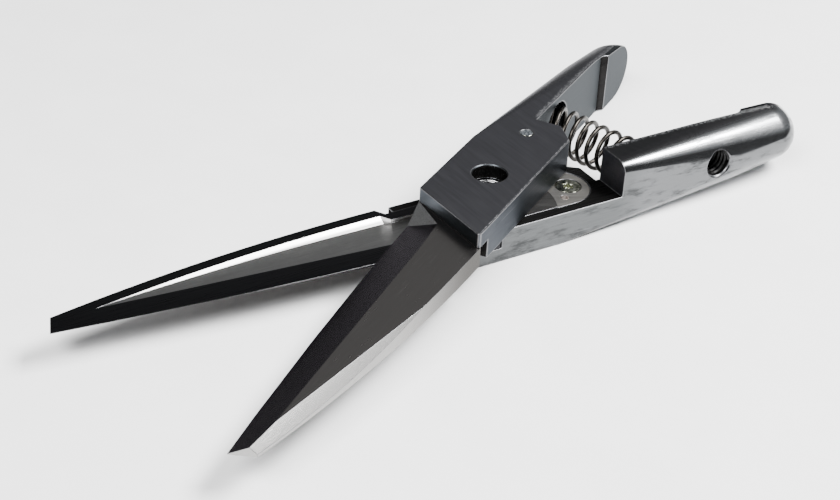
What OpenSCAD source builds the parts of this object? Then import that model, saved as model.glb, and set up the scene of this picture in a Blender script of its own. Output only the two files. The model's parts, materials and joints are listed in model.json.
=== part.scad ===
// Straight-blade metal shear: two identical levers on a hollow pivot, each with a screwed-on
// blade, held open by a coil spring between the handles.
// The origin is on the pivot axis, in the cutting plane. +Z runs along the pivot, and +X along
// the lower lever towards its handle's end. Sizes are in millimetres.
// A lever, its blade and their fasteners are drawn once, in the lever's own frame: x towards the
// handle's end, y towards the side with the cutting edge, z away from the cutting plane.

/* [Opening] */
// Angle between the two levers with the spring relaxed
open_angle = 32.3; // [15:0.1:36]
// Gap between the sliding faces of the two blades
shear_gap = 0.04; // [0.02:0.01:0.1]

/* [Head] */
// Height of one lever above the cutting plane
lever_h = 10.9; // [9:0.1:14]
// Pivot axis to the outer side, the one with the cutting edge
outer_y = 13.9; // [12:0.1:18]
// Pivot axis to the spine side
spine_y = 12.4; // [10.5:0.1:15]
// Pivot axis to the head's front corner on the cutting side
front_cut_x = 17.9; // [14:0.1:24]
// Pivot axis to the head's front corner on the spine side
front_spine_x = 32.8; // [26:0.1:40]
// Pivot axis to the rear face of the head
head_rear_x = 38.2; // [37.5:0.1:45]
// Chamfer on the head's rear corner, along the spine side and across it
rear_chamfer = [7.2, 5.9]; // [2:0.5:10]
// Chamfer on the head's front corner at the spine
front_chamfer = 0.9; // [0.3:0.1:2]

/* [Handle] */
// Pivot axis to the end of the handle
handle_reach = 114.4; // [95:0.1:140]
// Clearance between the head's rear corners and the other lever's handle
step_clearance = 0.7; // [0.3:0.1:2]
// Centre line to the handle's flat inner face
inner_y = 1.8; // [1:0.1:4]
// Length of the stop pad at the end of the handle
pad_len = 19.5; // [12:0.1:25]
// Gap between the two stop pads with the shear closed
pad_gap = 0.3; // [0.2:0.1:1]
// Pivot axis to where the outer edges start to round
round_start_x = 15.5; // [12:0.5:30]
// Pivot axis to where the outer side is fully rounded
round_full_x = 84; // [60:0.5:92]

/* [Blade] */
// Pivot axis to the blade's tip
blade_reach = 137.6; // [110:0.1:170]
// Thickness at the root
blade_t = 6.2; // [5:0.1:7]
// Thickness at the tip
tip_t = 3.4; // [2.5:0.1:4.5]
// Centre line to the tip of the cutting edge
tip_cut_y = 4; // [2:0.1:6]
// Centre line to the spine's corner at the tip
tip_spine_y = 2.9; // [1.5:0.1:4]
// How far the spine's corner stands back from the tip
tip_setback = 2.6; // [0:0.1:5]
// How far the cutting edge bows out from a straight line
cut_bow = 1.3; // [0.5:0.1:2]
// How far the spine bows out from a straight line
spine_bow = 2.5; // [0.5:0.1:3]
// Width of the bevel at the root
bevel_w = 10.2; // [7:0.1:11]
// Height of the cutting edge's flat land at the root
land_h = 1.2; // [0.5:0.1:2]
// Depth of the hollow in the inner face
hollow_d = 1.5; // [0.8:0.1:2]
// Centre line to the tang's side under the cutting edge
tang_cut_y = 10.2; // [8:0.1:11]
// Centre line to the tang's side under the spine
tang_spine_y = 9.2; // [8:0.1:9.6]
// Pivot axis to the end of the tang
tang_reach = 34.7; // [32:0.1:36]
// Gap between the tang and its pocket
tang_gap = 0.1; // [0.05:0.05:0.3]

/* [Pivot] */
// Radius of the pivot barrel that the blades turn on
pivot_r = 6; // [5.8:0.1:6.5]
// Radius of the hole in each head
head_hole_r = 5.2; // [4.6:0.1:6.5]
// Radius of the bore through the pivot
bore_r = 4.1; // [3.5:0.1:4.3]
// Radius of the thread that joins the pivot's two halves
joint_r = 5; // [4.8:0.1:5.2]
// Running clearance between the barrel and the blades
run_fit = 0.05; // [0.02:0.01:0.1]
// Radius of each pivot flange
flange_r = 7.6; // [7.2:0.1:8]
// Thickness of each pivot flange
flange_t = 1.3; // [1:0.1:1.6]
// Thickness of the spring washer under the upper flange
washer_t = 0.4; // [0.3:0.1:0.6]
// Radius of the sliding pad round the pivot
slide_pad_r = 21; // [19:0.1:23]
// How far the tang's end stands back from the sliding pad
slide_pad_h = 0.3; // [0.1:0.1:0.5]

/* [Blade fasteners] */
// Pivot axis to the blade screw, along the lever
screw_x = 28.5; // [27:0.1:29]
// Centre line to the blade screw
screw_y = 0.9; // [0:0.1:2]
// Radius of the blade screw's thread
screw_r = 2; // [1.5:0.1:2.5]
// Radius of the blade screw's head
screw_head_r = 4.1; // [3:0.1:4.4]
// Pivot axis to the locating pin, along the lever
pin_x = 23.9; // [22.5:0.1:24.5]
// Centre line to the locating pin
pin_y = 6; // [5.6:0.1:7]
// Radius of the locating pin
pin_r = 1.25; // [1:0.05:1.5]
// How far the locating pin goes into the lever
pin_depth = 2.5; // [1:0.1:3.5]

/* [Spring] */
// Pivot axis to the spring's seats, along each lever
spring_x = 56; // [50:0.1:62]
// Outer diameter of the coil
spring_od = 14.5; // [12:0.1:16]
// Diameter of the wire
wire_d = 1.4; // [1:0.1:2]
// Number of turns
spring_turns = 10; // [5:0.5:11]
// How far the middle of the spring bows towards the pivot
spring_sag = 6.4; // [0:0.1:6.5]
// How far the middle of the spring rises from the cutting plane
spring_rise = 1.9; // [0:0.1:2]
// Depth of each seat in the handle's inner face
seat_depth = 6.5; // [4:0.1:8]
// Clearance round the coil in its seat
seat_gap = 1.1; // [0.7:0.1:1.5]

/* [Handle thread] */
// Pivot axis to the threaded hole, along each lever
thread_x = 76.5; // [70:0.1:86]
// How far the threaded hole stands off the cutting plane, towards the other lever
thread_z = 1.8; // [0:0.1:3]
// Radius of the drilled hole, for an M10 thread
thread_r = 4.25; // [3.3:0.05:4.8]
// Depth of the threaded hole
thread_depth = 9.5; // [5:0.1:10]

/* [Hidden] */

// Edge length of the blocks that cut a body at a plane
span = 400;
// How far a cutting body runs past the face it opens
past = 1;
// Faces round a drilled or turned surface
$fn = 96;

// Heights, from the cutting plane
blade_face = shear_gap / 2;
blade_top = blade_face + blade_t;
tang_face = blade_face + slide_pad_h;
rim_gap = 0.2;
flange_gap = 0.5;
flange_floor = blade_top - flange_t - washer_t - flange_gap;

// Places along the lever
step_x = norm([head_rear_x, spine_y - rear_chamfer[1]]) + step_clearance;
dome_size = [11.5, outer_y - 1.5, lever_h - 1.3];
dome_drop = 0.9;
pad_x = handle_reach - pad_len;
cove_r = 4;
pocket_cut_x = 3.4;
pocket_spine_x = 26.8;
shoulder_gap = 0.5;
shoulder_x = 31.5;
shoulder_len = 2;

// The tang's rounded end
tang_r = (tang_cut_y + tang_spine_y) / 2;
tang_mid_y = (tang_cut_y - tang_spine_y) / 2;
tang_end_x = tang_reach - tang_r;

// The blade's ground faces
runout_x = 8.5;
bevel_root = [-(front_cut_x + runout_x), outer_y - bevel_w, blade_top];
tip_land_h = 0.2;
taper_x = 40;
spine_bevel_x = 56;
spine_bevel_tip_h = 1;
hollow_land_w = 6.8;
hollow_border = 3.6;
arc_steps = 14;

// Edges of holes
hole_chamfer = 0.25;
mouth_chamfer = 0.75;
fastener_gap = 0.03;
flange_side_gap = 0.15;
joint_gap = 0.02;

// The spring's centre line runs from the floor of one seat to the floor of the other
coil_r = (spring_od - wire_d) / 2;
seat_r = spring_od / 2 + seat_gap;
seat_floor_y = inner_y + seat_depth;
end_gap = 0.25;
spring_end_angle = asin((seat_floor_y - wire_d / 2 - end_gap) / (spring_x + coil_r));
spring_phase = 279;
wire_sides = 6;
rings_per_turn = 16;

function unit(v) = v / norm(v);
function toward(a, b, d) = a + d * unit(b - a);

// Points along a shallow arc from a to b that bows out to the right of the line by bow
function shallow_arc(a, b, bow, steps = arc_steps) =
    let (out = unit([b[1] - a[1], a[0] - b[0]]))
    [for (i = [0:steps]) let (s = i / steps) a + s * (b - a) + 4 * bow * s * (1 - s) * out];

// Everything past the plane through a, b and c, on the side that (b - a) x (c - a) points to
module beyond(a, b, c) {
    n = unit(cross(b - a, c - a));
    translate(a)
        rotate([0, acos(n[2]), atan2(n[1], n[0])])
            translate([-span / 2, -span / 2, 0])
                cube([span, span, span]);
}

// The lever frame of each side, set in the part's own frame
module upper_side() {
    rotate([0, 0, open_angle]) children();
}
module lower_side() {
    rotate([180, 0, 0]) children();
}

// A stadium-ended strip: the tang, or its pocket when grow is the gap
module tang_outline(from_x, grow = 0) {
    translate([tang_end_x, tang_mid_y]) circle(r = tang_r + grow);
    translate([from_x, -tang_spine_y - grow])
        square([tang_end_x - from_x, 2 * (tang_r + grow)]);
}

// --- Lever ---

module head() {
    front_cut = [-front_cut_x, outer_y];
    front_spine = [-front_spine_x, -spine_y];
    rear_spine = [head_rear_x - rear_chamfer[0], -spine_y];
    // The handle's rounded outer edge takes over from here, so the head stays inside it
    rounded_y = outer_y * (round_full_x - head_rear_x) / (round_full_x - round_start_x) - 0.5;
    linear_extrude(lever_h)
        polygon([
            front_cut,
            toward(front_spine, front_cut, front_chamfer),
            toward(front_spine, rear_spine, front_chamfer),
            rear_spine,
            [head_rear_x, -spine_y + rear_chamfer[1]],
            [head_rear_x, rounded_y],
            [round_start_x, outer_y]
        ]);
}

// What is milled off the handle's inner side, up to the stop pad
module inner_face_cut() {
    translate([0, 0, -lever_h - past])
        linear_extrude(2 * (lever_h + past))
            union() {
                translate([-past, inner_y - span]) square([pad_x - cove_r + past, span]);
                translate([pad_x - cove_r, inner_y - cove_r]) circle(r = cove_r);
                translate([-past, pad_gap / 2 - span]) square([span, span]);
            }
}

// A sharp-edged bar at the head that runs into a half-round one and a domed end
module handle() {
    difference() {
        hull() {
            translate([round_start_x, 0, -lever_h]) cube([past, outer_y, 2 * lever_h]);
            translate([round_full_x, 0, 0])
                rotate([0, 90, 0])
                    scale([lever_h, outer_y, 1])
                        cylinder(r = 1, h = past, $fn = 64);
            translate([handle_reach - dome_size[0], 0, -dome_drop])
                scale(dome_size)
                    rotate_extrude($fn = 48)
                        polygon([for (a = [-90:7.5:90]) [max(0, cos(a)), sin(a)]]);
        }
        inner_face_cut();
        // The other lever's head turns in this space
        translate([0, -span / 2, rim_gap - span]) cube([step_x, span, span]);
    }
}

module blade_pocket() {
    translate([0, 0, -past])
        linear_extrude(blade_top + past)
            union() {
                tang_outline(-front_spine_x - past, tang_gap);
                translate([-span, 0]) square([span - pocket_cut_x, span]);
                translate([-span, -span]) square([span - pocket_spine_x, span + past]);
            }
}

module lever() {
    difference() {
        union() {
            head();
            handle();
        }
        // The head's walls stand back from the cutting plane
        translate([-span + head_rear_x + past, -span / 2, -span + rim_gap]) cube([span - past, span, span]);
        blade_pocket();
        cylinder(r = head_hole_r, h = lever_h + past);
        translate([0, 0, lever_h - hole_chamfer])
            cylinder(r1 = head_hole_r, r2 = head_hole_r + 2 * hole_chamfer, h = 2 * hole_chamfer);
        blade_screw_body(fastener_gap);
        locating_pin_body(fastener_gap);
        // Spring seat
        translate([spring_x, 0, 0])
            rotate([-90, 0, 0])
                cylinder(r = seat_r, h = seat_floor_y);
        // Threaded hole and its countersunk mouth
        translate([thread_x, outer_y - thread_depth, -thread_z])
            rotate([-90, 0, 0])
                cylinder(r = thread_r, h = thread_depth + past);
        translate([thread_x, outer_y - mouth_chamfer, -thread_z])
            rotate([-90, 0, 0])
                cylinder(r1 = thread_r, r2 = thread_r + mouth_chamfer + past, h = mouth_chamfer + past);
    }
}

// --- Blade ---

module blade_outline() {
    polygon(concat(
        shallow_arc([bevel_root[0], outer_y], [-blade_reach, tip_cut_y], cut_bow),
        shallow_arc([tip_setback - blade_reach, -tip_spine_y], [-shoulder_x, -spine_y], spine_bow),
        [
            [-shoulder_x + shoulder_len, -tang_spine_y],
            [-pocket_cut_x - shoulder_gap, -tang_spine_y],
            [-pocket_cut_x - shoulder_gap, outer_y]
        ]
    ));
    tang_outline(-shoulder_x + shoulder_len);
}

// The outer face slopes down from here to the tip
module outer_taper() {
    a = [-taper_x, 0, blade_top];
    beyond(a, a + [0, 1, 0], [-blade_reach, 0, blade_face + tip_t]);
}

// The bevel that makes the cutting edge, and the ramp where it runs out at the root
module bevel() {
    edge_root = [bevel_root[0], outer_y, blade_face + land_h];
    edge_tip = [-blade_reach, tip_cut_y, blade_face + tip_land_h];
    ramp_foot = [bevel_root[0], outer_y, blade_face + tip_land_h];
    intersection() {
        beyond(bevel_root, edge_root, edge_tip);
        beyond(bevel_root, [-front_cut_x, outer_y, blade_top], ramp_foot);
    }
}

// The slope along the spine, which widens towards the tip
module spine_bevel() {
    tip = [tip_setback - blade_reach, -tip_spine_y, blade_face + spine_bevel_tip_h];
    beyond([-spine_bevel_x, -spine_y, blade_top], tip + [0, 1, 1], tip);
}

// A hollow in the inner face, so that the blades touch only along their cutting edges
module hollow() {
    land_root = [bevel_root[0], outer_y - hollow_land_w];
    land_tip = [-blade_reach, tip_cut_y - hollow_land_w];
    wall_root = [-shoulder_x, hollow_border - spine_y];
    wall_tip = [tip_setback - blade_reach, hollow_border - tip_spine_y];
    intersection() {
        linear_extrude(blade_top)
            difference() {
                intersection() {
                    polygon(concat(
                        shallow_arc(land_root, land_tip, cut_bow),
                        [[land_tip[0], -span / 2], [0, -span / 2], [0, land_root[1]]]
                    ));
                    polygon(concat(
                        shallow_arc(wall_tip, wall_root, spine_bow),
                        [
                            [-shoulder_x + shoulder_len, hollow_border - tang_spine_y],
                            [0, hollow_border - tang_spine_y],
                            [0, span / 2],
                            [wall_tip[0], span / 2]
                        ]
                    ));
                }
                circle(r = slide_pad_r);
            }
        beyond(
            [land_root[0], land_root[1], blade_face],
            [wall_root[0], wall_root[1], blade_face + hollow_d],
            [land_tip[0], land_tip[1], blade_face]
        );
    }
}

// The tang's end stands back from the round sliding pad
module tang_relief() {
    difference() {
        translate([0, -span / 2, tang_face - span]) cube([span, span, span]);
        translate([0, 0, -span / 2]) cylinder(r = slide_pad_r, h = span);
    }
}

module blade() {
    difference() {
        translate([0, 0, blade_face]) linear_extrude(blade_t) blade_outline();
        outer_taper();
        bevel();
        spine_bevel();
        hollow();
        tang_relief();
        translate([0, 0, -past]) cylinder(r = pivot_r + run_fit, h = blade_top + 2 * past);
        translate([0, 0, flange_floor]) cylinder(r = flange_r + flange_side_gap, h = blade_top);
        blade_screw_body(fastener_gap);
        locating_pin_body(fastener_gap);
    }
}

// --- Blade fasteners ---

// A countersunk screw, flush with the tang and with the head's outer face. The hole for it is
// the same body, made larger by grow.
module blade_screw_body(grow = 0) {
    sink = screw_head_r - screw_r;
    rim = 0.4;
    translate([screw_x, screw_y, 0]) {
        translate([0, 0, tang_face - past * sign(grow)])
            cylinder(r = screw_head_r + grow, h = rim + past * sign(grow));
        translate([0, 0, tang_face + rim])
            cylinder(r1 = screw_head_r + grow, r2 = screw_r + grow, h = sink);
        translate([0, 0, tang_face])
            cylinder(r = screw_r + grow, h = lever_h - tang_face + past * sign(grow));
    }
}

module blade_screw() {
    socket_r = 0.33 * screw_head_r;
    socket_depth = 1.4;
    difference() {
        blade_screw_body();
        // Six-lobe socket
        translate([screw_x, screw_y, tang_face - past]) {
            cylinder(r = socket_r, h = socket_depth + past);
            for (i = [0:5])
                rotate([0, 0, 60 * i])
                    translate([socket_r, 0, 0])
                        cylinder(r = 0.34 * socket_r, h = socket_depth + past);
        }
    }
}

module locating_pin_body(grow = 0) {
    translate([pin_x, pin_y, tang_face - past * sign(grow)])
        cylinder(r = pin_r + grow, h = blade_top + pin_depth - tang_face + past * sign(grow));
}

// --- Pivot ---

// The two halves screw together through both blades, and the bore goes through them
module pivot_sleeve() {
    color([0.55, 0.55, 0.56])
        difference() {
            union() {
                translate([0, 0, joint_gap - flange_floor])
                    cylinder(r = pivot_r, h = 2 * flange_floor + washer_t);
                translate([0, 0, flange_floor + washer_t]) cylinder(r = flange_r, h = flange_t);
            }
            translate([0, 0, -span / 2]) cylinder(r = joint_r, h = span);
        }
}

module pivot_screw() {
    color([0.5, 0.5, 0.51])
        difference() {
            union() {
                translate([0, 0, -flange_floor])
                    cylinder(r = joint_r - joint_gap, h = 2 * flange_floor + washer_t + flange_t);
                translate([0, 0, -flange_floor - flange_t]) cylinder(r = flange_r, h = flange_t);
            }
            translate([0, 0, -span / 2]) cylinder(r = bore_r, h = span);
        }
}

module pivot_washer() {
    color([0.35, 0.35, 0.36])
        translate([0, 0, flange_floor])
            difference() {
                cylinder(r = flange_r, h = washer_t);
                translate([0, 0, -past]) cylinder(r = pivot_r + run_fit, h = washer_t + 2 * past);
            }
}

// --- Spring ---

// Along the spring, s from 0 to 1: its angle from the lower lever, and the wire's turn round it
function spring_side(s) = -spring_end_angle + s * (open_angle + 2 * spring_end_angle);
function wire_turn(s) = spring_phase - 360 * spring_turns * s;

// A point on the wire's centre line. The spring keeps straight in its seats and bows between them.
function wire_centre(s) =
    let (
        side = spring_side(s),
        bow = pow(4 * s * (1 - s), 2),
        r = spring_x - spring_sag * bow + coil_r * cos(wire_turn(s))
    )
    [r * cos(side), r * sin(side), coil_r * sin(wire_turn(s)) + spring_rise * bow];

// The wire is one closed tube swept along its centre line
module handle_spring() {
    rings = rings_per_turn * spring_turns;
    points = [
        for (i = [0:rings])
            let (
                s = i / rings,
                step = 0.5 / rings,
                along = unit(wire_centre(s + step) - wire_centre(s - step)),
                side = spring_side(s),
                turn = wire_turn(s),
                outward = [cos(turn) * cos(side), cos(turn) * sin(side), sin(turn)],
                across = unit(cross(along, outward)),
                up = cross(across, along)
            )
            for (k = [0:wire_sides - 1])
                let (a = 360 * k / wire_sides)
                wire_centre(s) + wire_d / 2 * (cos(a) * up + sin(a) * across)
    ];
    walls = [
        for (i = [0:rings - 1], k = [0:wire_sides - 1])
            let (a = i * wire_sides, n = (k + 1) % wire_sides)
            [a + k, a + n, a + wire_sides + n, a + wire_sides + k]
    ];
    first = [for (k = [wire_sides - 1:-1:0]) k];
    last = [for (k = [0:wire_sides - 1]) rings * wire_sides + k];
    color([0.3, 0.3, 0.31]) polyhedron(points, concat(walls, [first, last]));
}

// --- The two sides ---

module upper_lever() {
    color([0.33, 0.33, 0.35]) upper_side() lever();
}
module lower_lever() {
    color([0.7, 0.7, 0.71]) lower_side() lever();
}
module upper_blade() {
    color([0.37, 0.36, 0.36]) upper_side() blade();
}
module lower_blade() {
    color([0.3, 0.3, 0.31]) lower_side() blade();
}
module upper_blade_screw() {
    color([0.72, 0.72, 0.66]) upper_side() blade_screw();
}
module lower_blade_screw() {
    color([0.72, 0.72, 0.66]) lower_side() blade_screw();
}
module upper_locating_pin() {
    color([0.5, 0.47, 0.45]) upper_side() locating_pin_body();
}
module lower_locating_pin() {
    color([0.5, 0.47, 0.45]) lower_side() locating_pin_body();
}

upper_lever();
lower_lever();
upper_blade();
lower_blade();
pivot_sleeve();
pivot_screw();
pivot_washer();
upper_blade_screw();
lower_blade_screw();
upper_locating_pin();
lower_locating_pin();
handle_spring();
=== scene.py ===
import json
import math

import bmesh
import bpy
from mathutils import Matrix, Vector


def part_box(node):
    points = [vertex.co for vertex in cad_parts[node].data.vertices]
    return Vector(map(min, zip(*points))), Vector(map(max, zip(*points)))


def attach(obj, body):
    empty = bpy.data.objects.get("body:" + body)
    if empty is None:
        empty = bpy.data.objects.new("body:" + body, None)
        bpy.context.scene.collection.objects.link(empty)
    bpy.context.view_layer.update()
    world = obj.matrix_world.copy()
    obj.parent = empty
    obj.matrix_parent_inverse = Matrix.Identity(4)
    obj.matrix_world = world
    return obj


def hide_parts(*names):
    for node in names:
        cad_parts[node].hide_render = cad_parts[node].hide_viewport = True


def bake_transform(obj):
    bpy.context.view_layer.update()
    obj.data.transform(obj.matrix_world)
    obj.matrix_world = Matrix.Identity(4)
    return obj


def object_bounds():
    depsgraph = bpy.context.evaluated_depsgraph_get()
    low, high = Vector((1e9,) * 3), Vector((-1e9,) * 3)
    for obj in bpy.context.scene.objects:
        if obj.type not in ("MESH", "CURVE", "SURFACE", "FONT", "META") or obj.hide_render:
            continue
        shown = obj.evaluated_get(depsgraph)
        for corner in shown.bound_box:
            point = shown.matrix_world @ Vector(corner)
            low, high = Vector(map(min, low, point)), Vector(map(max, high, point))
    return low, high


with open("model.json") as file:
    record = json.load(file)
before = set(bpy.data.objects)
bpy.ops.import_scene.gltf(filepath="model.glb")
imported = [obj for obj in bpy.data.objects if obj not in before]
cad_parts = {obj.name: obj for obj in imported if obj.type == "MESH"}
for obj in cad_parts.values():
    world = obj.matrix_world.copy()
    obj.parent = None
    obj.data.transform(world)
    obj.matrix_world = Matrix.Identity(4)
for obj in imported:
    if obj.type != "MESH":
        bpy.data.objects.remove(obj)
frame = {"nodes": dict(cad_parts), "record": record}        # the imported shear: one body for each half, the pivot along Z
nodes = frame["nodes"]
CAD_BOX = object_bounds()

# The upper lever closes by the angle that it stands open, so the joint's lower limit gives it.
OPEN = math.radians(-frame["record"]["behaviour"]["joints"][0]["range_deg"][0])

# Each half has a frame of its own: x to the handle's end, y to the cutting side, z away from
# the cutting plane. These turn it into the shared frame.
PLACED = {
    "upper_half": Matrix.Rotation(OPEN, 4, "Z"),
    "lower_half": Matrix.Rotation(math.pi, 4, "X"),
}

# Places in metres in a half's own frame: the head's spine side, front and rear, the handle's
# inner face, the spring's seat, and the blade's sliding face above the cutting plane
SPINE_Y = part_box("lower_lever")[1].y
HEAD_FRONT_X = -0.0179
HEAD_REAR_X = 0.0382
INNER_Y = 0.0018
SEAT_DEPTH = 0.0065
SPRING_X = 0.056
BLADE_FACE = 0.00002

# How far the ground lines are turned from the lever's length
LINE_ANGLE = math.radians(60.4)
TANG_LINE_ANGLE = math.radians(25)

MOUNTS = {mount["name"]: mount for mount in frame["record"]["mounts"]}
THREAD = MOUNTS["lower_handle_thread"]
THREAD_CENTRE = PLACED["lower_half"].inverted() @ Vector(THREAD["pos_m"])
THREAD_R = THREAD["dims"]["r_mm"] / 1000


# --- Shapes ---


def add_object(name, mesh):
    made = bpy.data.objects.new(name, mesh)
    bpy.context.scene.collection.objects.link(made)
    return made


def soften_edges(made, width, edge_slot=-1, segments=3, corner=30):
    """Rounds the corners sharper than corner degrees. edge_slot is the material they get."""
    bevel = made.modifiers.new("worn corners", "BEVEL")
    bevel.width = width
    bevel.segments = segments
    bevel.limit_method = "ANGLE"
    bevel.angle_limit = math.radians(corner)
    bevel.use_clamp_overlap = False
    bevel.material = edge_slot
    graph = bpy.context.evaluated_depsgraph_get()
    rounded = bpy.data.meshes.new_from_object(made.evaluated_get(graph))
    made.modifiers.clear()
    made.data = rounded
    smooth_normals(rounded)


def smooth_normals(mesh, spread=24):
    """Each corner's normal is the mean of the faces round it that lie within spread degrees."""
    around = [[] for _ in mesh.vertices]
    for face in mesh.polygons:
        face.use_smooth = True
        for vertex in face.vertices:
            around[vertex].append(face.index)
    facing = [face.normal.copy() for face in mesh.polygons]
    weight = [face.area for face in mesh.polygons]
    least = math.cos(math.radians(spread))
    normals = []
    for face in mesh.polygons:
        own = facing[face.index]
        for vertex in face.vertices:
            total = Vector()
            for other in around[vertex]:
                if facing[other].dot(own) > least:
                    total += weight[other] * facing[other]
            normals.append(total.normalized() if total.length > 0 else own)
    mesh.normals_split_custom_set(normals)


def finished(
    node, name, body, materials, choose, width, edge_slot=-1, segments=3, cuts=(), reshape=None
):
    """A copy of the CAD piece with softened corners and a material on each face.
    Its faces are divided where x is one of cuts, so that the material can change there.
    reshape moves a corner, given in the half's own frame, before the corners are softened."""
    mesh = nodes[node].data.copy()
    mesh.name = name
    shape = bmesh.new()
    shape.from_mesh(mesh)
    bmesh.ops.remove_doubles(shape, verts=shape.verts, dist=2e-6)
    bmesh.ops.dissolve_limit(
        shape, angle_limit=math.radians(0.4), verts=shape.verts, edges=shape.edges
    )
    for cut_x in cuts:
        place = PLACED[body] @ Vector((cut_x, 0, 0))
        along = PLACED[body].to_3x3() @ Vector((1, 0, 0))
        whole = shape.verts[:] + shape.edges[:] + shape.faces[:]
        bmesh.ops.bisect_plane(shape, geom=whole, plane_co=place, plane_no=along)
    shape.to_mesh(mesh)
    shape.free()
    mesh.materials.clear()
    for material in materials:
        mesh.materials.append(material)
    own = PLACED[body].inverted()
    turn = own.to_3x3()
    for face in mesh.polygons:
        face.material_index = choose(own @ face.center, turn @ face.normal)
    if reshape:
        for vertex in mesh.vertices:
            vertex.co = PLACED[body] @ reshape(own @ vertex.co)
    made = add_object(name, mesh)
    soften_edges(made, width, edge_slot, segments)
    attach(made, body)
    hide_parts(node)
    return made


def swept(name, stations, outline):
    """A closed bar. Each station is a place, an outward and an upward direction."""
    shape = bmesh.new()
    rings = [
        [shape.verts.new(place + a * out + b * up) for a, b in outline]
        for place, out, up in stations
    ]
    for one, two in zip(rings, rings[1:]):
        for i in range(len(outline)):
            j = (i + 1) % len(outline)
            shape.faces.new((one[i], one[j], two[j], two[i]))
    shape.faces.new(rings[0][::-1])
    shape.faces.new(rings[-1])
    bmesh.ops.recalc_face_normals(shape, faces=shape.faces)
    mesh = bpy.data.meshes.new(name)
    shape.to_mesh(mesh)
    shape.free()
    for face in mesh.polygons:
        face.use_smooth = len(face.vertices) == 4
    return add_object(name, mesh)


def circle(radius, sides):
    steps = [2 * math.pi * i / sides for i in range(sides)]
    return [(radius * math.cos(a), radius * math.sin(a)) for a in steps]


# --- Shader nodes ---


def feed(tree, socket, value):
    """Links value to the socket if value is a socket too, and sets it if not."""
    if isinstance(value, bpy.types.NodeSocket):
        tree.links.new(value, socket)
    else:
        socket.default_value = value


def put(tree, kind, values=None, **settings):
    """Adds a node. values are its inputs, each a plain value or the socket that feeds it."""
    made = tree.nodes.new("ShaderNode" + kind)
    for key, value in settings.items():
        setattr(made, key, value)
    for key, value in (values or {}).items():
        feed(tree, made.inputs[key], value)
    return made


def effect(name, inputs, outputs):
    """An empty node group, with its input and output nodes."""
    tree = bpy.data.node_groups.new(name, "ShaderNodeTree")
    for label, kind in inputs.items():
        tree.interface.new_socket(label, in_out="INPUT", socket_type="NodeSocket" + kind)
    for label, kind in outputs.items():
        tree.interface.new_socket(label, in_out="OUTPUT", socket_type="NodeSocket" + kind)
    return tree, tree.nodes.new("NodeGroupInput").outputs, tree.nodes.new("NodeGroupOutput").inputs


def use(tree, group, values):
    made = tree.nodes.new("ShaderNodeGroup")
    made.node_tree = group
    for key, value in values.items():
        feed(tree, made.inputs[key], value)
    return made.outputs


def mixed(tree, factor, one, two, kind="RGBA"):
    """Blends one into two. The node's sockets for colours come after those for numbers."""
    made = tree.nodes.new("ShaderNodeMix")
    made.data_type = kind
    first = 6 if kind == "RGBA" else 2
    feed(tree, made.inputs[0], factor)
    feed(tree, made.inputs[first], one)
    feed(tree, made.inputs[first + 1], two)
    return made.outputs[2 if kind == "RGBA" else 0]


def ranged(tree, value, low, high, out_low=0.0, out_high=1.0):
    return put(
        tree,
        "MapRange",
        {"Value": value, "From Min": low, "From Max": high, "To Min": out_low, "To Max": out_high},
        interpolation_type="SMOOTHSTEP",
    ).outputs["Result"]


def sums(tree, operation, one, two):
    made = tree.nodes.new("ShaderNodeMath")
    made.operation = operation
    feed(tree, made.inputs[0], one)
    feed(tree, made.inputs[1], two)
    return made.outputs[0]


def stretched_noise(tree, vector, scale, detail=3.0, rough=0.55):
    """Noise with its own scale along X, Y and Z."""
    laid = put(tree, "Mapping", {"Vector": vector, "Scale": scale})
    return put(
        tree,
        "TexNoise",
        {"Vector": laid.outputs["Vector"], "Scale": 1.0, "Detail": detail, "Roughness": rough},
    ).outputs["Fac"]


def make_brushed_lines():
    """Fine ground lines along X."""
    tree, i, o = effect(
        "brushed lines",
        {"Vector": "Vector", "Depth": "Float"},
        {"Shade": "Float", "Normal": "Vector"},
    )
    fine = stretched_noise(tree, i["Vector"], (90, 5200, 5200), 2.0)
    broad = stretched_noise(tree, i["Vector"], (40, 1900, 1900), 3.0)
    fine = sums(tree, "MULTIPLY", fine, 0.75)
    broad = sums(tree, "MULTIPLY", broad, 0.25)
    both = sums(tree, "ADD", fine, broad)
    tree.links.new(ranged(tree, both, 0.3, 0.7), o["Shade"])
    bump = put(tree, "Bump", {"Strength": i["Depth"], "Distance": 0.00004, "Height": both})
    tree.links.new(bump.outputs["Normal"], o["Normal"])
    return tree


def make_worn_edge():
    """A speckled bright band where Y is close to Place."""
    tree, i, o = effect(
        "worn edge",
        {"Vector": "Vector", "Place": "Float", "Width": "Float", "Speckle": "Float"},
        {"Mask": "Float"},
    )
    y = put(tree, "SeparateXYZ", {"Vector": i["Vector"]}).outputs["Y"]
    off = sums(tree, "ABSOLUTE", sums(tree, "SUBTRACT", y, i["Place"]), 0.0)
    waver = stretched_noise(tree, i["Vector"], (1300, 1300, 1300), 2.0)
    edge = sums(tree, "MULTIPLY", i["Width"], ranged(tree, waver, 0.3, 0.7, 0.55, 1.25))
    band = ranged(tree, sums(tree, "DIVIDE", off, edge), 1.05, 0.75)
    grit = ranged(tree, stretched_noise(tree, i["Vector"], (2600, 2600, 2600), 2.0), 0.38, 0.6)
    kept = mixed(tree, i["Speckle"], 1.0, grit, "FLOAT")
    tree.links.new(sums(tree, "MULTIPLY", band, kept), o["Mask"])
    return tree


def make_smudges():
    """Cloudy marks, as left by hands and oil."""
    tree, i, o = effect(
        "smudges",
        {"Vector": "Vector", "Least": "Float", "Most": "Float"},
        {"Mask": "Float"},
    )
    cloud = stretched_noise(tree, i["Vector"], (75, 330, 330), 8.0, 0.68)
    tree.links.new(ranged(tree, cloud, i["Least"], i["Most"]), o["Mask"])
    return tree


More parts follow.
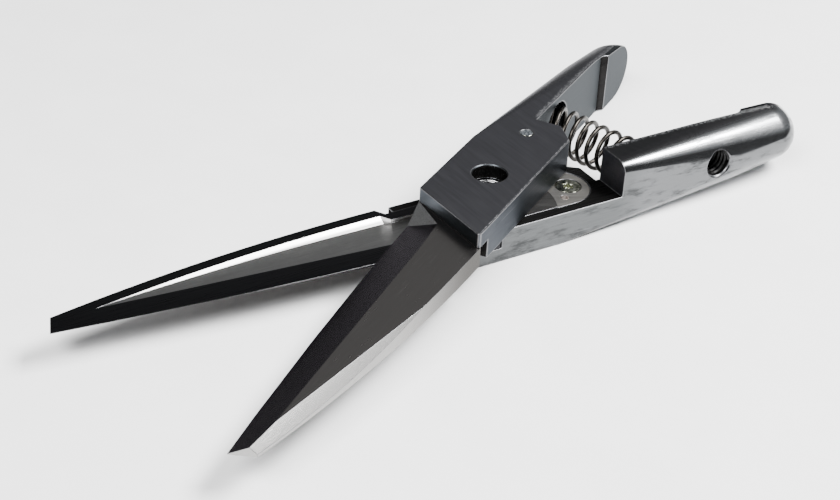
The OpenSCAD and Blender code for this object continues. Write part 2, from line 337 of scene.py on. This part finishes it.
def make_scratches():
    """Sparse long scratches along X."""
    tree, i, o = effect(
        "scratches", {"Vector": "Vector", "Amount": "Float"}, {"Mask": "Float"}
    )
    lines = stretched_noise(tree, i["Vector"], (45, 2400, 2400), 1.0)
    patches = stretched_noise(tree, i["Vector"], (120, 160, 160), 3.0)
    thin = ranged(tree, lines, 0.64, 0.70)
    where = ranged(tree, patches, 0.42, 0.62)
    tree.links.new(
        sums(tree, "MULTIPLY", i["Amount"], sums(tree, "MULTIPLY", thin, where)), o["Mask"]
    )
    return tree


LINES = make_brushed_lines()
WORN = make_worn_edge()
SMUDGES = make_smudges()
SCRATCHES = make_scratches()


def new_material(name, **plain):
    """Bare metal, unless plain says otherwise. plain holds the inputs that don't vary."""
    material = bpy.data.materials.new(name)
    material.use_nodes = True
    tree = material.node_tree
    shader = tree.nodes["Principled BSDF"]
    shader.inputs["Metallic"].default_value = 1.0
    for key, value in plain.items():
        shader.inputs[key.replace("_", " ")].default_value = value
    return material, tree, shader.inputs


def own_coordinates(tree, body, extra=0.0):
    """The piece's place in its half's own frame, turned by extra about Z."""
    place = put(tree, "TexCoord").outputs["Object"]
    turn = (0, 0, -OPEN) if body == "upper_half" else (math.pi, 0, 0)
    own = put(tree, "Mapping", {"Vector": place, "Rotation": turn}).outputs["Vector"]
    if extra:
        own = put(tree, "Mapping", {"Vector": own, "Rotation": (0, 0, extra)}).outputs["Vector"]
    return own


def ground_steel(
    name, body, dark, light, rough, depth=0.5, angle=0.0, smudge=(0.5, 0.75), **plain
):
    """Steel with brushed lines at angle from the lever's length, dulled by smudges."""
    material, tree, shader = new_material(name, **plain)
    own = own_coordinates(tree, body)
    laid = own_coordinates(tree, body, -angle)
    lines = use(tree, LINES, {"Vector": laid, "Depth": depth})
    marks = use(tree, SMUDGES, {"Vector": own, "Least": smudge[0], "Most": smudge[1]})["Mask"]
    thin = use(tree, SCRATCHES, {"Vector": own, "Amount": 0.6})["Mask"]
    colour = mixed(tree, lines["Shade"], (*dark, 1), (*light, 1))
    middle = [0.55 * c for c in dark]
    colour = mixed(tree, sums(tree, "MULTIPLY", marks, 0.6), colour, (*middle, 1))
    bright = [min(1, 1.6 * c) for c in light]
    colour = mixed(tree, sums(tree, "MULTIPLY", thin, 0.5), colour, (*bright, 1))
    tree.links.new(colour, shader["Base Color"])
    spread = 0.3 * min(depth, 0.5)
    gloss = ranged(tree, lines["Shade"], 0, 1, rough * (1 - spread), rough * (1 + spread))
    gloss = sums(tree, "ADD", gloss, sums(tree, "MULTIPLY", marks, 0.12))
    tree.links.new(gloss, shader["Roughness"])
    tree.links.new(lines["Normal"], shader["Normal"])
    return material


# Where along the lever the handle's colour and the worn band on its arm fade in
HANDLE_BEGINS = (0.036, 0.05)
ARM_BEGINS = (0.0385, 0.041)


def lever_outside(name, body, flat, side, handle, flat_rough, side_rough, stains_and_highlight, **plain):
    """Flat faces ground across the head, glossy sides and handle, worn edges, and, where asked, a
    painted highlight band along the handle's rounding.
    """
    material, tree, shader = new_material(name, **plain)
    own = own_coordinates(tree, body)
    across = own_coordinates(tree, body, -LINE_ANGLE)
    x = put(tree, "SeparateXYZ", {"Vector": own}).outputs["X"]
    on_handle = ranged(tree, x, *HANDLE_BEGINS)
    normal = put(tree, "TexCoord").outputs["Normal"]
    up = sums(tree, "ABSOLUTE", put(tree, "SeparateXYZ", {"Vector": normal}).outputs["Z"], 0.0)
    level = ranged(tree, up, 0.93, 0.99)
    head_lines = use(tree, LINES, {"Vector": across, "Depth": 0.3})
    side_lines = use(tree, LINES, {"Vector": own, "Depth": 0.22})
    marks = use(tree, SMUDGES, {"Vector": own, "Least": 0.5, "Most": 0.68})["Mask"]
    marks = sums(tree, "MULTIPLY", marks, 0.25 + 0.6 * stains_and_highlight)
    thin = use(tree, SCRATCHES, {"Vector": own, "Amount": 1.0})["Mask"]
    spine = use(
        tree, WORN, {"Vector": own, "Place": -SPINE_Y, "Width": 0.0006, "Speckle": 0.8}
    )["Mask"]
    arm = use(
        tree, WORN, {"Vector": own, "Place": INNER_Y, "Width": 0.0015, "Speckle": 1.0}
    )["Mask"]
    arm = sums(tree, "MULTIPLY", arm, ranged(tree, x, *ARM_BEGINS))
    worn = sums(tree, "MAXIMUM", spine, sums(tree, "MULTIPLY", arm, 0.75))
    flat_dark = [0.93 * c for c in flat]
    flat_light = [1.08 * c for c in flat]
    flat_colour = mixed(tree, head_lines["Shade"], (*flat_dark, 1), (*flat_light, 1))
    side_dark = [0.9 * c for c in side]
    side_light = [min(1, 1.08 * c) for c in side]
    side_colour = mixed(tree, side_lines["Shade"], (*side_dark, 1), (*side_light, 1))
    # A painted highlight: the handle's colour brightens where its rounding faces the overhead
    # softbox, scaled by the last argument, which also sets the smudges.
    highlight_band = sums(tree, "MULTIPLY", ranged(tree, up, 0.5, 0.62), ranged(tree, up, 0.97, 0.88))
    highlight_colour = [min(1, 3.6 * c) for c in handle]
    highlight_band = sums(tree, "MULTIPLY", highlight_band, stains_and_highlight)
    handle_colour = mixed(tree, highlight_band, (*handle, 1), (*highlight_colour, 1))
    side_colour = mixed(tree, on_handle, side_colour, handle_colour)
    stain = [0.34 * c for c in side]
    side_colour = mixed(tree, marks, side_colour, (*stain, 1))
    side_colour = mixed(
        tree, sums(tree, "MULTIPLY", thin, 0.35), side_colour, (0.2, 0.2, 0.21, 1)
    )
    # Top-facing faces take the flat colour: on the head this is its ground finish, and on the lower
    # handle's glossy top the darker flat colour is a painted shade.
    colour = mixed(tree, level, side_colour, flat_colour)
    on_top = sums(tree, "MULTIPLY", worn, ranged(tree, up, 0.7, 0.9))
    colour = mixed(tree, sums(tree, "MULTIPLY", on_top, 0.9), colour, (0.42, 0.425, 0.435, 1))
    tree.links.new(colour, shader["Base Color"])
    side_gloss = sums(tree, "ADD", side_rough, sums(tree, "MULTIPLY", marks, 0.16))
    flat_gloss = ranged(tree, head_lines["Shade"], 0, 1, flat_rough * 0.93, flat_rough * 1.07)
    flat_gloss = sums(tree, "ADD", flat_gloss, sums(tree, "MULTIPLY", worn, 0.15))
    tree.links.new(mixed(tree, level, side_gloss, flat_gloss, "FLOAT"), shader["Roughness"])
    bumps = mixed(tree, level, side_lines["Normal"], head_lines["Normal"])
    tree.links.new(bumps, shader["Normal"])
    return material


def turned_steel(name, dark, light, rough, **plain):
    """Steel with rings about the pivot."""
    material, tree, shader = new_material(name, **plain)
    place = put(tree, "TexCoord").outputs["Object"]
    parts = put(tree, "SeparateXYZ", {"Vector": place})
    flat = put(tree, "CombineXYZ", {"X": parts.outputs["X"], "Y": parts.outputs["Y"]})
    away = put(tree, "VectorMath", {0: flat.outputs["Vector"]}, operation="LENGTH")
    rings = put(tree, "CombineXYZ", {"Y": away.outputs["Value"], "Z": parts.outputs["Z"]})
    lines = use(tree, LINES, {"Vector": rings.outputs["Vector"], "Depth": 0.4})
    marks = use(tree, SMUDGES, {"Vector": place, "Least": 0.45, "Most": 0.75})["Mask"]
    colour = mixed(tree, lines["Shade"], (*dark, 1), (*light, 1))
    stain = [0.5 * c for c in dark]
    colour = mixed(tree, sums(tree, "MULTIPLY", marks, 0.5), colour, (*stain, 1))
    tree.links.new(colour, shader["Base Color"])
    gloss = sums(tree, "ADD", rough, sums(tree, "MULTIPLY", marks, 0.2))
    tree.links.new(gloss, shader["Roughness"])
    tree.links.new(lines["Normal"], shader["Normal"])
    return material


def mottled_metal(name, one, two, scale, rough, bump=0.2, **plain):
    """Metal with a plated or oiled skin of two tones."""
    material, tree, shader = new_material(name, **plain)
    place = put(tree, "TexCoord").outputs["Object"]
    tone = stretched_noise(tree, place, (scale, scale, scale), 4.0)
    colour = mixed(tree, ranged(tree, tone, 0.35, 0.65), (*one, 1), (*two, 1))
    tree.links.new(colour, shader["Base Color"])
    tree.links.new(ranged(tree, tone, 0.3, 0.7, rough * 0.8, rough * 1.25), shader["Roughness"])
    height = put(tree, "Bump", {"Strength": bump, "Distance": 0.00004, "Height": tone})
    tree.links.new(height.outputs["Normal"], shader["Normal"])
    return material


# --- Materials ---

UP, LOW = "upper_half", "lower_half"

# The smudges' limits on a clean surface
CLEAN = (0.62, 0.95)

# The number after the two roughnesses sets the smudges and the painted highlight band: none on the
# upper lever, full on the lower.
upper_outside = lever_outside(
    "upper lever outside", UP, (0.13, 0.13, 0.142), (0.05, 0.056, 0.063),
    # The specular tint dims the grazing reflection along the upper lever's far edge, a painted
    # shade.
    (0.03, 0.03, 0.033), 0.36, 0.32, 0.0, Specular_Tint=(0.55, 0.55, 0.56, 1)
)
# On the lower lever the flat colour, darker than the handle's, is a painted shade on the handle's
# top.
lower_outside = lever_outside(
    "lower lever outside", LOW, (0.055, 0.055, 0.058), (0.095, 0.099, 0.101),
    (0.13, 0.133, 0.137), 0.3, 0.19, 1.0
)
upper_inside = ground_steel(
    "upper lever milled inside", UP, (0.03, 0.034, 0.037), (0.035, 0.039, 0.042), 0.42, 0.05,
    smudge=(0.6, 0.95), Specular_Tint=(0.67, 0.68, 0.69, 1)
)
lower_inside = ground_steel(
    "lower lever milled inside", LOW, (0.014, 0.014, 0.016), (0.024, 0.024, 0.026), 0.4, 0.3
)
# Near-black colour for the pockets, the front slot, the pivot hole and the cove under the pad:
# painted shade in recesses. Its low specular tint dims grazing reflections, also painted shade.
pocket_shade_steel = ground_steel(
    "pocket painted shade", LOW, (0.015, 0.0145, 0.0145), (0.026, 0.0255, 0.025), 0.45, 0.3,
    Specular_Tint=(0.25, 0.25, 0.25, 1)
)
step_steel = ground_steel(
    "sawn step", LOW, (0.09, 0.088, 0.105), (0.13, 0.128, 0.148), 0.36, 0.2
)
bright_corner = ground_steel(
    "bright worn corner", UP, (0.09, 0.09, 0.095), (0.17, 0.172, 0.178), 0.36, 0.3
)
# Near-black colour inside the thread holes and on the spring seats' floors: painted shade in
# recesses, with a low specular tint dimming grazing reflections.
drilled_hole_shade = ground_steel(
    "drilled hole", LOW, (0.01, 0.01, 0.01), (0.02, 0.02, 0.02), 0.45, 0.3,
    Specular_Tint=(0.3, 0.3, 0.3, 1)
)


# Where the spine's painted highlight fades in along the blade, and how deep the hollow's wall goes
# dull
SPINE_BRIGHTENS = (-0.034, -0.085)
WALL_DULLS = (0.0005, 0.0011)


def spine_steel(name, body):
    """The spine, dark at the root, with a painted highlight growing towards the tip, where its
    rounding widens and catches the light.
    """
    material, tree, shader = new_material(
        name, Roughness=0.27, Specular_Tint=(0.7, 0.69, 0.68, 1)
    )
    own = own_coordinates(tree, body)
    x = put(tree, "SeparateXYZ", {"Vector": own}).outputs["X"]
    lines = use(tree, LINES, {"Vector": own, "Depth": 0.2})
    root = mixed(tree, lines["Shade"], (0.03, 0.029, 0.0275, 1), (0.038, 0.037, 0.035, 1))
    tip = mixed(tree, lines["Shade"], (0.28, 0.276, 0.27, 1), (0.33, 0.326, 0.32, 1))
    along = ranged(tree, x, *SPINE_BRIGHTENS)
    tree.links.new(mixed(tree, along, root, tip), shader["Base Color"])
    tree.links.new(lines["Normal"], shader["Normal"])
    return material


def wall_steel(name, body):
    """The hollow's wall, bright under the land and running into the hollow at its foot."""
    material, tree, shader = new_material(name, Roughness=0.3)
    own = own_coordinates(tree, body)
    deep = put(tree, "SeparateXYZ", {"Vector": own}).outputs["Z"]
    lines = use(tree, LINES, {"Vector": own, "Depth": 0.12})
    bright = mixed(tree, lines["Shade"], (0.8, 0.79, 0.77, 1), (0.92, 0.91, 0.9, 1))
    dull = mixed(tree, lines["Shade"], (0.2, 0.198, 0.195, 1), (0.25, 0.248, 0.245, 1))
    foot = ranged(tree, deep, *WALL_DULLS)
    tree.links.new(mixed(tree, foot, bright, dull), shader["Base Color"])
    tree.links.new(lines["Normal"], shader["Normal"])
    return material


def blade_materials(body):
    word = body.split("_")[0]
    return [
        ground_steel(
            f"{word} blade face", body, (0.225, 0.212, 0.203), (0.24, 0.226, 0.218), 0.27, 0.02,
            smudge=CLEAN
        ),
        # The bevel's near-black colour is a painted dark reflection.
        ground_steel(
            f"{word} blade bevel", body, (0.013, 0.0122, 0.0132), (0.016, 0.0152, 0.0163),
            0.24, 0.01, smudge=CLEAN, Specular_Tint=(0.8, 0.77, 0.81, 1)
        ),
        ground_steel(
            f"{word} blade run-out", body, (0.24, 0.24, 0.24), (0.46, 0.46, 0.46), 0.32, 0.5
        ),
        spine_steel(f"{word} blade spine", body),
        ground_steel(
            f"{word} blade land", body, (0.02, 0.02, 0.022), (0.03, 0.03, 0.033), 0.28, 0.1
        ),
        ground_steel(
            f"{word} blade hollow", body, (0.25, 0.248, 0.245), (0.3, 0.298, 0.294), 0.33, 0.12
        ),
        wall_steel(f"{word} blade hollow wall", body),
        ground_steel(
            f"{word} blade tang", body, (0.4, 0.385, 0.36), (0.5, 0.48, 0.45), 0.34, 0.3,
            TANG_LINE_ANGLE
        ),
        ground_steel(
            f"{word} blade sliding pad", body, (0.1, 0.097, 0.093), (0.16, 0.155, 0.148),
            0.36, 0.3, TANG_LINE_ANGLE, (0.42, 0.66)
        ),
        bright_corner,
    ]


FACE, BEVEL, RUNOUT, SPINE, LAND, HOLLOW, WALL, TANG, PAD, CORNER = range(10)

# A face's normal has a part this large along an axis if the face looks that way
SQUARE = 0.9
LEANING = 0.5

# How far the pad and the hollow differ from the blade's sliding face, and where they end
PAD_RISE = 0.00005
HOLLOW_RISE = 0.00008
HOLLOW_TOP = 0.0016
WALL_MOST_Y = 0.003
WALL_END_X = (-0.036, -0.03)
RUNOUT_X = -0.0275


def blade_face(place, normal):
    """Which of the blade's materials a face gets."""
    if normal.z < -SQUARE:
        if place.x > HEAD_FRONT_X:
            return PAD if place.z < BLADE_FACE + PAD_RISE else TANG
        return HOLLOW if place.z > BLADE_FACE + HOLLOW_RISE else LAND
    if place.x > HEAD_FRONT_X:
        # The tang's sides, down in the lever's pocket, take the dark land colour as a painted
        # shade.
        return TANG if abs(normal.z) > LEANING else LAND
    if place.z < HOLLOW_TOP and place.y < WALL_MOST_Y and normal.y > 0.3:
        return WALL
    at_wall_end = WALL_END_X[0] < place.x < WALL_END_X[1]
    if at_wall_end and place.z < HOLLOW_TOP and abs(normal.z) < LEANING:
        return WALL
    if normal.z > 0.985:
        return FACE
    if normal.z > 0.2 and normal.y > 0.1:
        return RUNOUT if place.x > RUNOUT_X else BEVEL
    if normal.y < -0.2 or normal.x < -LEANING:
        return SPINE
    return LAND


# The hollow's wall on the spine side, and how far its foot moves for its depth
WALL_ROOT_X, WALL_ROOT_Y = -0.0315, -0.0088
WALL_SLOPE = -0.0918
WALL_X = (-0.132, -0.0185)
WALL_NEAR = 0.0032
WALL_FOOT = 0.0002
WALL_LEAN = 1.5


def slope_wall(place):
    """Leans the hollow's wall back, by moving its foot away from the spine."""
    spine = WALL_ROOT_Y + (place.x - WALL_ROOT_X) * WALL_SLOPE
    deep = place.z - BLADE_FACE
    near = abs(place.y - spine) < WALL_NEAR
    if near and WALL_FOOT < deep < HOLLOW_TOP and WALL_X[0] < place.x < WALL_X[1]:
        return place + Vector((0, WALL_LEAN * deep, 0))
    return place


OUTSIDE, INSIDE, POCKET, DRILLED, STEP, EDGE = range(6)

# Limits of the lever's milled and drilled places, and how near their axes the round ones reach
THREAD_LEAST_Y = 0.0042
THREAD_NEAR = 0.0051
SEAT_NEAR = 0.0084
SEAT_FLOOR_SLACK = 0.0005
COVE_X = (0.0905, 0.0953)
PAD_X = 0.088
PAD_MOST_Y = 0.0019
FRONT_SLOT_X = -0.003
FRONT_SLOT_Z = 0.0063
STEP_X = (0.03, 0.045)
REAR_CORNER = (0.03, -0.008)
POCKET_Z = (0.0001, 0.0095)
PIVOT_NEAR = 0.0068
POCKET_X = (-0.004, 0.036)
POCKET_Y = 0.0109


def lever_face(place, normal):
    """Which of the lever's materials a face gets."""
    x, y, z = place
    upright = abs(normal.y) < LEANING
    # The thread holes' walls and the seats' floors get the drilled-hole colour, a painted shade.
    if y > THREAD_LEAST_Y and upright:
        if math.hypot(x - THREAD_CENTRE.x, z - THREAD_CENTRE.z) < THREAD_NEAR:
            return DRILLED
    if abs(y - (INNER_Y + SEAT_DEPTH)) < SEAT_FLOOR_SLACK and normal.y < -SQUARE:
        return DRILLED
    if math.hypot(x - SPRING_X, z) < SEAT_NEAR and INNER_Y < y < SEAT_NEAR and upright:
        return INSIDE
    # The cove, the front slot and the pocket's faces get the pocket colour, a painted shade.
    if COVE_X[0] < x < COVE_X[1] and y < INNER_Y and normal.x < -0.1:
        return POCKET
    if x < FRONT_SLOT_X and z < FRONT_SLOT_Z and normal.x < -0.7:
        return POCKET
    if x > HEAD_REAR_X and normal.y < -SQUARE:
        return INSIDE
    if x > PAD_X and y < PAD_MOST_Y:
        return INSIDE
    if STEP_X[0] < x < STEP_X[1] and normal.x < -SQUARE:
        return STEP
    if x > REAR_CORNER[0] and y < REAR_CORNER[1]:
        return OUTSIDE
    if POCKET_Z[0] < z < POCKET_Z[1] and x < HEAD_REAR_X - 0.0005:
        if normal.z < -LEANING or math.hypot(x, y) < PIVOT_NEAR:
            return POCKET
        if POCKET_X[0] < x < POCKET_X[1] and abs(y) < POCKET_Y:
            return POCKET
    if normal.z < -LEANING and -0.005 < x < HEAD_REAR_X + 0.002:
        return POCKET
    return OUTSIDE


def all_one(place, normal):
    """For a piece with one material."""
    return 0


# --- The upper half ---

# How far the corners are worn
LEVER_WEAR = 0.0003
BLADE_WEAR = 0.00006
SCREW_WEAR = 0.00012
PIN_WEAR = 0.0001
PIVOT_WEAR = 0.00015
WASHER_WEAR = 0.00005

finished(
    "upper_lever", "upper_lever_finished", UP,
    [upper_outside, upper_inside, pocket_shade_steel, drilled_hole_shade, step_steel, bright_corner],
    lever_face, LEVER_WEAR, EDGE
)
finished(
    "upper_blade", "upper_blade_finished", UP, blade_materials(UP), blade_face, BLADE_WEAR,
    CORNER, 1, (HEAD_FRONT_X,), slope_wall
)

# --- The lower half ---

finished(
    "lower_lever", "lower_lever_finished", LOW,
    [lower_outside, lower_inside, pocket_shade_steel, drilled_hole_shade, step_steel, bright_corner],
    lever_face, LEVER_WEAR, EDGE
)
finished(
    "lower_blade", "lower_blade_finished", LOW, blade_materials(LOW), blade_face, BLADE_WEAR,
    CORNER, 1, (HEAD_FRONT_X,), slope_wall
)

# --- Fasteners and pivot ---

zinc = mottled_metal(
    "yellow zinc plate", (0.16, 0.17, 0.11), (0.72, 0.73, 0.62), 1300, 0.17, 0.8
)
screw_end = mottled_metal("screw end", (0.3, 0.33, 0.36), (0.62, 0.66, 0.7), 1500, 0.3)
pin_steel = mottled_metal("locating pin steel", (0.3, 0.24, 0.21), (0.42, 0.37, 0.34), 1200, 0.4)
barrel_steel = turned_steel("pivot barrel", (0.45, 0.45, 0.46), (0.68, 0.68, 0.69), 0.26)
washer_steel = turned_steel("spring washer", (0.12, 0.12, 0.12), (0.2, 0.2, 0.2), 0.4)


low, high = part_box("lower_blade_screw")
SCREW_CENTRE = PLACED[LOW].inverted() @ ((low + high) / 2)

# Above the first height is the screw's bare end, and below the second its head
SCREW_END_Z = 0.0075
SCREW_HEAD_Z = 0.0022
HEAD_SHRINK = 0.94


def screw_face(place, normal):
    """The end is bare and the rest is plated."""
    return 1 if place.z > SCREW_END_Z else 0


def looser_head(place):
    """Leaves a visible gap round the countersunk head."""
    if place.z > SCREW_HEAD_Z:
        return place
    x = SCREW_CENTRE.x + HEAD_SHRINK * (place.x - SCREW_CENTRE.x)
    return Vector((x, SCREW_CENTRE.y + HEAD_SHRINK * (place.y - SCREW_CENTRE.y), place.z))


for half, body in (("upper", UP), ("lower", LOW)):
    finished(
        f"{half}_blade_screw", f"{half}_blade_screw_finished", body, [zinc, screw_end],
        screw_face, SCREW_WEAR, reshape=looser_head
    )
    finished(
        f"{half}_locating_pin", f"{half}_locating_pin_finished", body, [pin_steel],
        all_one, PIN_WEAR
    )
for node in ("pivot_sleeve", "pivot_screw"):
    finished(node, node + "_finished", LOW, [barrel_steel], all_one, PIVOT_WEAR)
finished("pivot_washer", "pivot_washer_finished", LOW, [washer_steel], all_one, WASHER_WEAR)

# --- The spring ---

# How far the spring's middle bows towards the pivot and up
SPRING_SAG = 0.0064
SPRING_RISE = 0.0019

COIL_R = 0.00655
WIRE_R = 0.0007
END_GAP = 0.00025
SPRING_TURNS = 10
SPRING_PHASE = math.radians(279)
END_ANGLE = math.asin((INNER_Y + SEAT_DEPTH - WIRE_R - END_GAP) / (SPRING_X + COIL_R))
WIRE_STEPS = 540


def wire_centre(s):
    """The wire's place at s, from 0 to 1 along it, and the way out of its coil."""
    side = -END_ANGLE + s * (OPEN + 2 * END_ANGLE)
    turn = SPRING_PHASE - 2 * math.pi * SPRING_TURNS * s
    bow = (4 * s * (1 - s)) ** 2
    r = SPRING_X - SPRING_SAG * bow + COIL_R * math.cos(turn)
    level = Vector((math.cos(side), math.sin(side), 0))
    outward = math.cos(turn) * level + Vector((0, 0, math.sin(turn)))
    z = COIL_R * math.sin(turn) + SPRING_RISE * bow
    place = Vector((r * math.cos(side), r * math.sin(side), z))
    return place, outward


def wire_stations():
    """Places along the wire, each with two directions across it."""
    made = []
    for i in range(WIRE_STEPS + 1):
        s = i / WIRE_STEPS
        place, outward = wire_centre(s)
        ahead = wire_centre(s + 0.5 / WIRE_STEPS)[0] - wire_centre(s - 0.5 / WIRE_STEPS)[0]
        across = ahead.cross(outward).normalized()
        made.append((place, across.cross(ahead).normalized(), across))
    return made


spring = swept("handle_spring_wire", wire_stations(), circle(WIRE_R, 16))
spring.data.materials.append(
    mottled_metal("oil-tempered wire", (0.03, 0.027, 0.024), (0.043, 0.039, 0.035), 700, 0.33, 0.05)
)
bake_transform(spring)
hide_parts("handle_spring")

# --- The threads in the handles ---

THREAD_PITCH = 0.0015
THREAD_FROM_Y = 0.005
THREAD_TURNS = 5
THREAD_STEPS = 240


def thread_stations(body):
    """Places along the ridge of one handle's thread, with two directions across it."""
    own = PLACED[body]
    turned = own.to_3x3()
    made = []
    for i in range(THREAD_STEPS + 1):
        turn = 2 * math.pi * THREAD_TURNS * i / THREAD_STEPS
        out = Vector((math.cos(turn), 0, math.sin(turn)))
        y = THREAD_FROM_Y + THREAD_PITCH * turn / (2 * math.pi)
        place = Vector((THREAD_CENTRE.x, y, THREAD_CENTRE.z)) + THREAD_R * out
        made.append((own @ place, turned @ out, turned @ Vector((0, 1, 0))))
    return made


THREAD_OUTLINE = [
    (0.00005, -0.00055), (-0.0004, -0.0001), (-0.0004, 0.0001), (0.00005, 0.00055)
]
# The thread's very dark colour is a painted shade inside the handles' holes.
thread_shade = mottled_metal("cut thread", (0.012, 0.012, 0.012), (0.028, 0.028, 0.028), 1500, 0.4)
for half, body in (("upper", UP), ("lower", LOW)):
    thread = swept(f"{half}_handle_thread_ridge", thread_stations(body), THREAD_OUTLINE)
    thread.data.materials.append(thread_shade)
    for face in thread.data.polygons:
        face.use_smooth = False
    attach(thread, body)

# --- The studio ---

FLOOR_HALF = 3.0
low, high = CAD_BOX
floor_mesh = bpy.data.meshes.new("floor")
floor_mesh.from_pydata(
    [(x * FLOOR_HALF, y * FLOOR_HALF, low.z) for x, y in ((-1, -1), (1, -1), (1, 1), (-1, 1))],
    [],
    [(0, 1, 2, 3)],
)
floor = add_object("floor", floor_mesh)
paper, tree, shader = new_material("pale paper", Metallic=0.0, Roughness=0.75)
grain = stretched_noise(tree, put(tree, "TexCoord").outputs["Object"], (40, 40, 40), 4.0)
tree.links.new(
    mixed(tree, ranged(tree, grain, 0.3, 0.7), (0.83, 0.83, 0.83, 1), (0.86, 0.86, 0.86, 1)),
    shader["Base Color"],
)
floor.data.materials.append(paper)

AIM = Vector((-0.0203, 0.0038, -0.0121))


def direction(azimuth, elevation):
    a, e = math.radians(azimuth), math.radians(elevation)
    return Vector((math.cos(e) * math.cos(a), math.cos(e) * math.sin(a), math.sin(e)))


def add_softbox(name, azimuth, elevation, distance, width, height, power):
    lamp = bpy.data.lights.new(name, "AREA")
    lamp.shape = "RECTANGLE"
    lamp.size, lamp.size_y = width, height
    lamp.energy = power
    made = bpy.data.objects.new(name, lamp)
    bpy.context.scene.collection.objects.link(made)
    out = direction(azimuth, elevation)
    made.location = AIM + distance * out
    made.rotation_euler = out.to_track_quat("Z", "Y").to_euler()


add_softbox("overhead softbox", -25, 52, 0.9, 0.5, 0.3, 30.0)
add_softbox("front softbox", -150, 50, 1.0, 0.6, 0.4, 20.0)

world = bpy.data.worlds.new("studio")
world.use_nodes = True
world.node_tree.nodes["Background"].inputs["Color"].default_value = (0.2, 0.205, 0.21, 1)
world.node_tree.nodes["Background"].inputs["Strength"].default_value = 1.0
bpy.context.scene.world = world

# --- The camera ---

CAMERA_AZIMUTH = -122.31
CAMERA_ELEVATION = 32.29
CAMERA_DISTANCE = 0.5332
CAMERA_ROLL = -0.05286

lens = bpy.data.cameras.new("camera")
lens.sensor_width = 36
lens.lens = 77.14
camera = bpy.data.objects.new("camera", lens)
bpy.context.scene.collection.objects.link(camera)
back = direction(CAMERA_AZIMUTH, CAMERA_ELEVATION)
level_right = Vector((0, 0, 1)).cross(back).normalized()
level_up = back.cross(level_right)
right = math.cos(CAMERA_ROLL) * level_right - math.sin(CAMERA_ROLL) * level_up
up = math.sin(CAMERA_ROLL) * level_right + math.cos(CAMERA_ROLL) * level_up
turned = Matrix((right, up, back)).transposed().to_4x4()
camera.matrix_world = Matrix.Translation(AIM + CAMERA_DISTANCE * back) @ turned
bpy.context.scene.camera = camera
